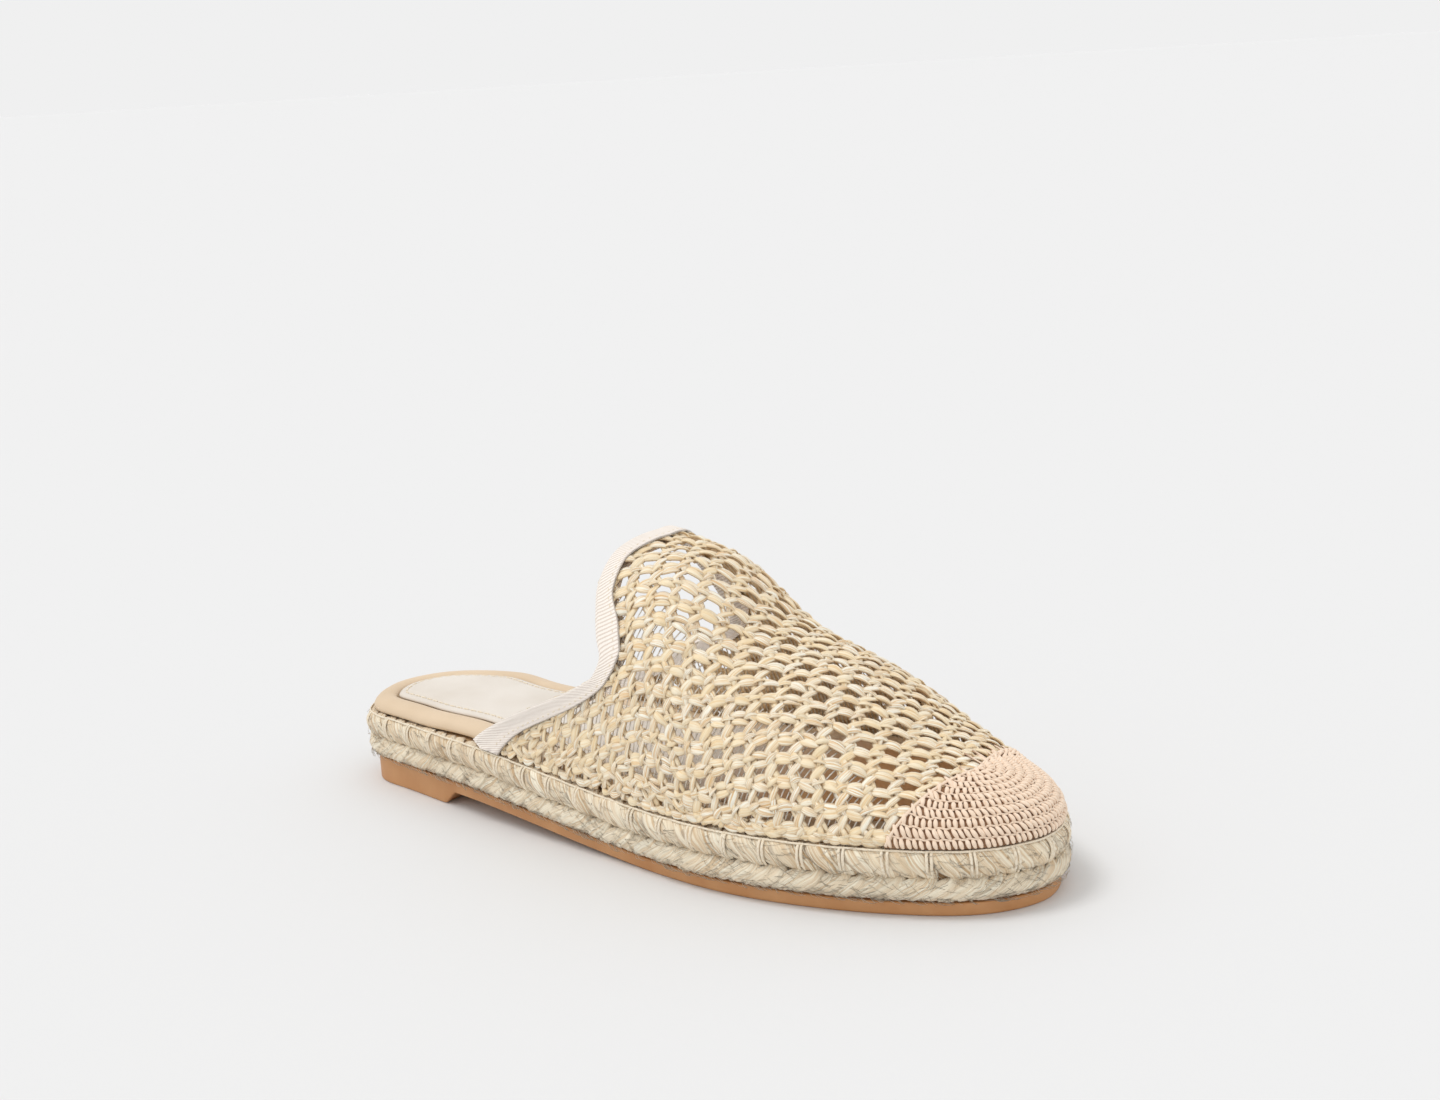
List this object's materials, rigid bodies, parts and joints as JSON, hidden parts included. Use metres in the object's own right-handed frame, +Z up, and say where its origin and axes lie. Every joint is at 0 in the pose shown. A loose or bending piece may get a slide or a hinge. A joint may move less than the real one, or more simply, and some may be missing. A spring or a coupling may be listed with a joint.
{
  "type": "raffia espadrille mule",
  "caption": "Backless slip-on shoe: open woven raffia upper with a crochet toe cap and ribbon-bound collar on a braided jute midsole and a flat rubber outsole with a low heel.",
  "frame": {"origin": "on the floor, under the middle of the sole's outline", "axes": "+X points to the toe, -Y to the outer (little toe) side, +Z up"},
  "size_m": [0.2554, 0.0912, 0.0911],
  "materials": {
    "rubber": "moulded caramel rubber, satin",
    "jute": "braided natural jute yarn, matt and slightly hairy",
    "insole_leather": "smooth beige leather, satin",
    "sock": "padded cream sock with a fine grain, soft satin",
    "raffia": "knotted straw-coloured raffia ribbon, slight sheen",
    "crochet_cotton": "pale peach crocheted cotton cord, matt",
    "ribbon": "ribbed cream ribbon, matt"
  },
  "bodies": {
    "root": {"outsole": "rubber", "braided_midsole": "jute", "insole_board": "insole_leather", "sock_pad": "sock", "mesh_upper": "raffia", "toe_cap": "crochet_cotton", "collar_binding": "ribbon"}
  },
  "joints": []
}
